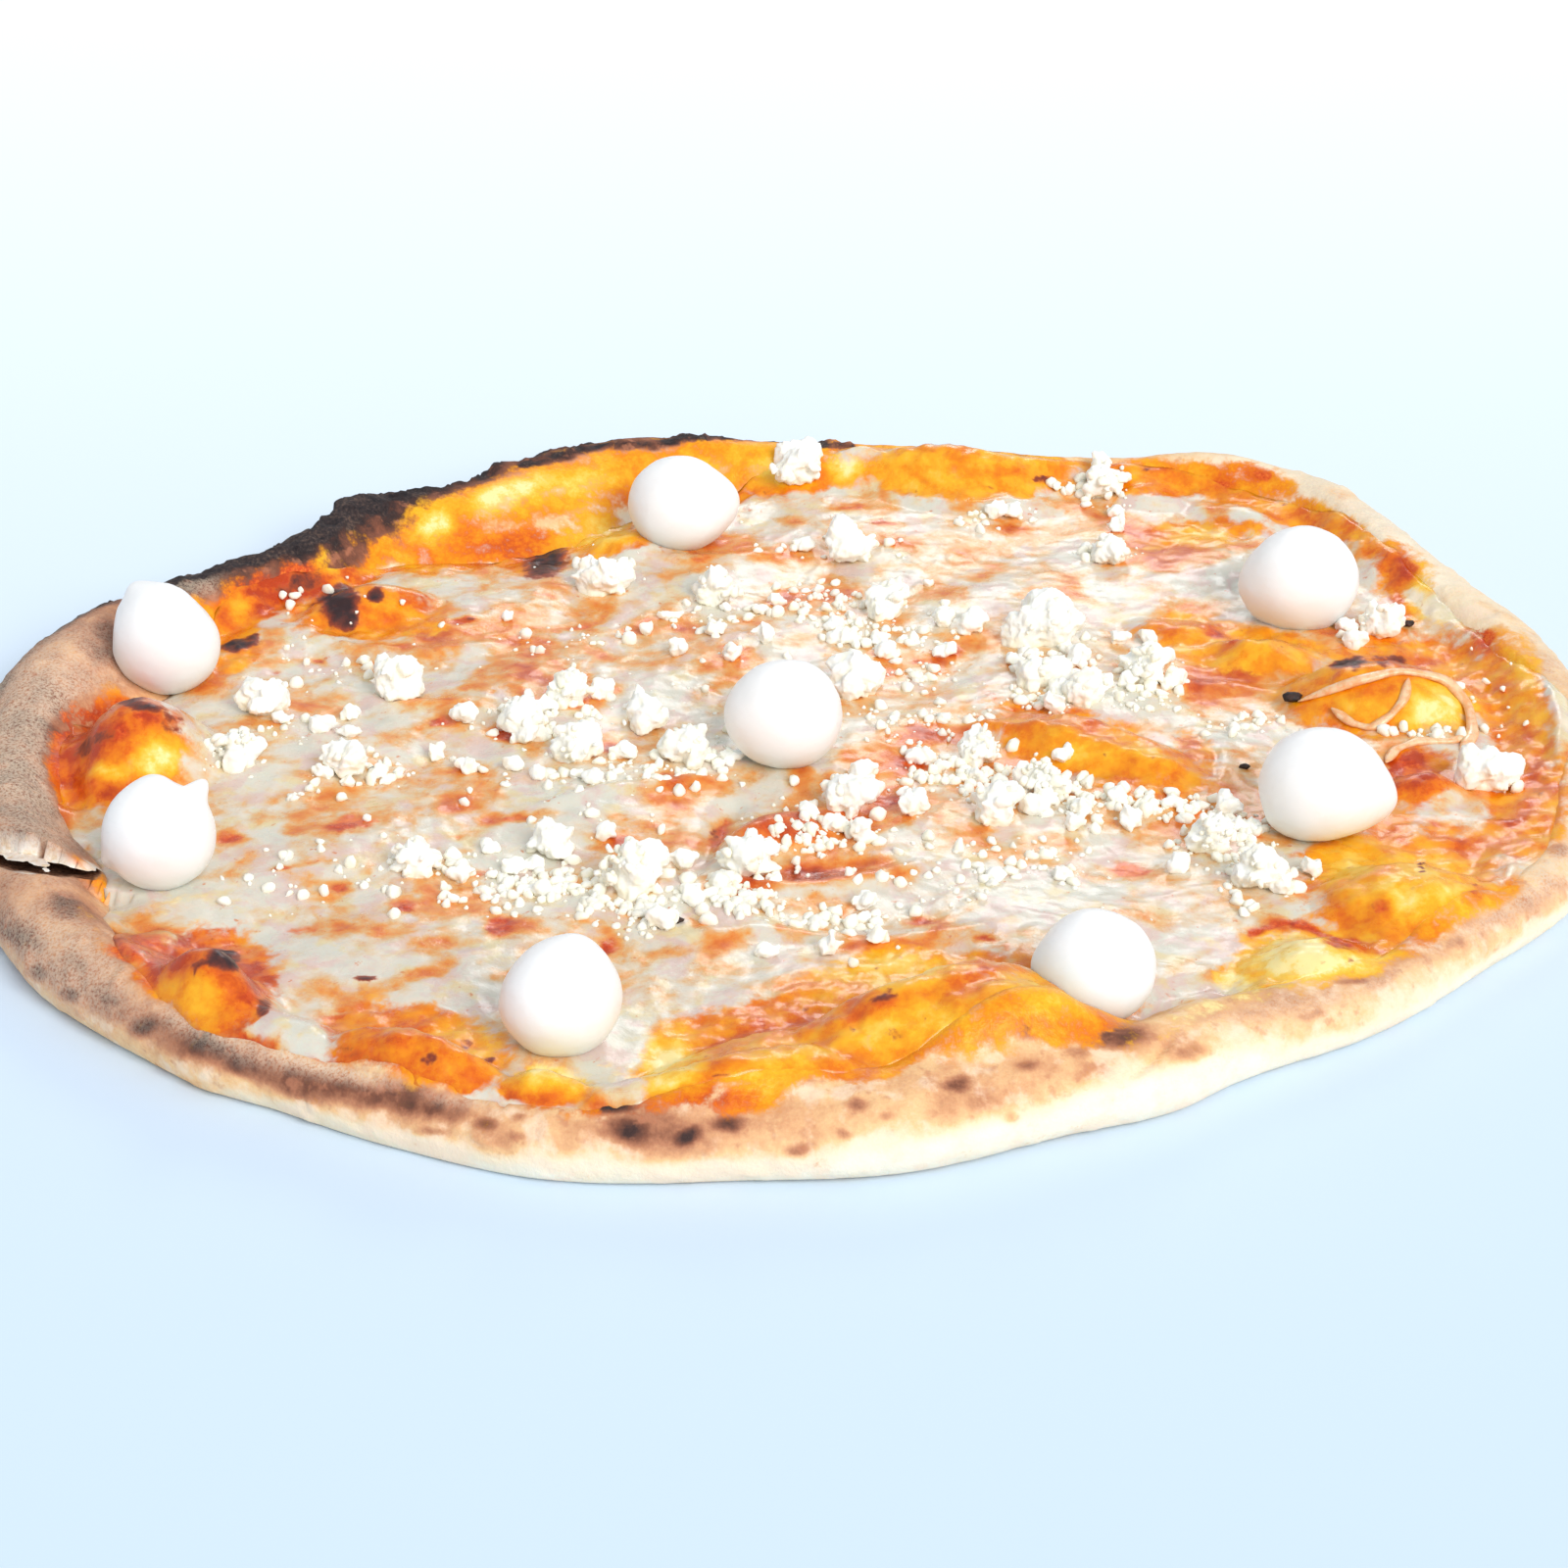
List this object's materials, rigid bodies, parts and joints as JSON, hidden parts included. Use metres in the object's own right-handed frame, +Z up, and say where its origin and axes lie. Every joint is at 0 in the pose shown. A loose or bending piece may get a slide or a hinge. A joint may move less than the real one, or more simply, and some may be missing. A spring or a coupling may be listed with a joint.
{
  "type": "four cheese pizza",
  "caption": "Whole uncut pizza with a puffed, blistered and partly charred rim, melted cheese, fresh mozzarella balls and crumbled white cheese.",
  "frame": {"origin": "on the flat underside, below the middle of the whole part's box", "axes": "+Z up out of the topping, +X to the right of the pictured view, +Y away from the viewer"},
  "size_m": [0.3207, 0.2907, 0.0289],
  "materials": {
    "baked_dough": "matt baked crust, floury, with brown and charred spots",
    "melted_cheese": "oily melted cheese over tomato, white to orange",
    "fresh_mozzarella": "moist satin white",
    "crumbled_cheese": "matt crumbly off-white"
  },
  "bodies": {
    "root": {"dough_base": "baked_dough", "melted_cheese": "melted_cheese", "mozzarella_ball_1": "fresh_mozzarella", "mozzarella_ball_2": "fresh_mozzarella", "mozzarella_ball_3": "fresh_mozzarella", "mozzarella_ball_4": "fresh_mozzarella", "mozzarella_ball_5": "fresh_mozzarella", "mozzarella_ball_6": "fresh_mozzarella", "mozzarella_ball_7": "fresh_mozzarella", "mozzarella_ball_8": "fresh_mozzarella", "cheese_lump_1": "crumbled_cheese", "cheese_lump_2": "crumbled_cheese", "cheese_lump_3": "crumbled_cheese", "cheese_lump_4": "crumbled_cheese", "cheese_lump_5": "crumbled_cheese", "cheese_lump_6": "crumbled_cheese", "cheese_lump_7": "crumbled_cheese", "cheese_lump_8": "crumbled_cheese", "cheese_lump_9": "crumbled_cheese", "cheese_lump_10": "crumbled_cheese", "cheese_lump_11": "crumbled_cheese", "cheese_lump_12": "crumbled_cheese", "cheese_lump_13": "crumbled_cheese", "cheese_lump_14": "crumbled_cheese", "cheese_lump_15": "crumbled_cheese", "cheese_lump_16": "crumbled_cheese", "cheese_lump_17": "crumbled_cheese", "cheese_lump_18": "crumbled_cheese", "cheese_lump_19": "crumbled_cheese", "cheese_lump_20": "crumbled_cheese", "cheese_lump_21": "crumbled_cheese", "cheese_lump_22": "crumbled_cheese", "cheese_lump_23": "crumbled_cheese", "cheese_lump_24": "crumbled_cheese", "cheese_lump_25": "crumbled_cheese", "cheese_lump_26": "crumbled_cheese", "cheese_lump_27": "crumbled_cheese", "cheese_lump_28": "crumbled_cheese", "cheese_lump_29": "crumbled_cheese", "cheese_lump_30": "crumbled_cheese", "cheese_lump_31": "crumbled_cheese", "cheese_lump_32": "crumbled_cheese", "cheese_lump_33": "crumbled_cheese"}
  },
  "joints": []
}
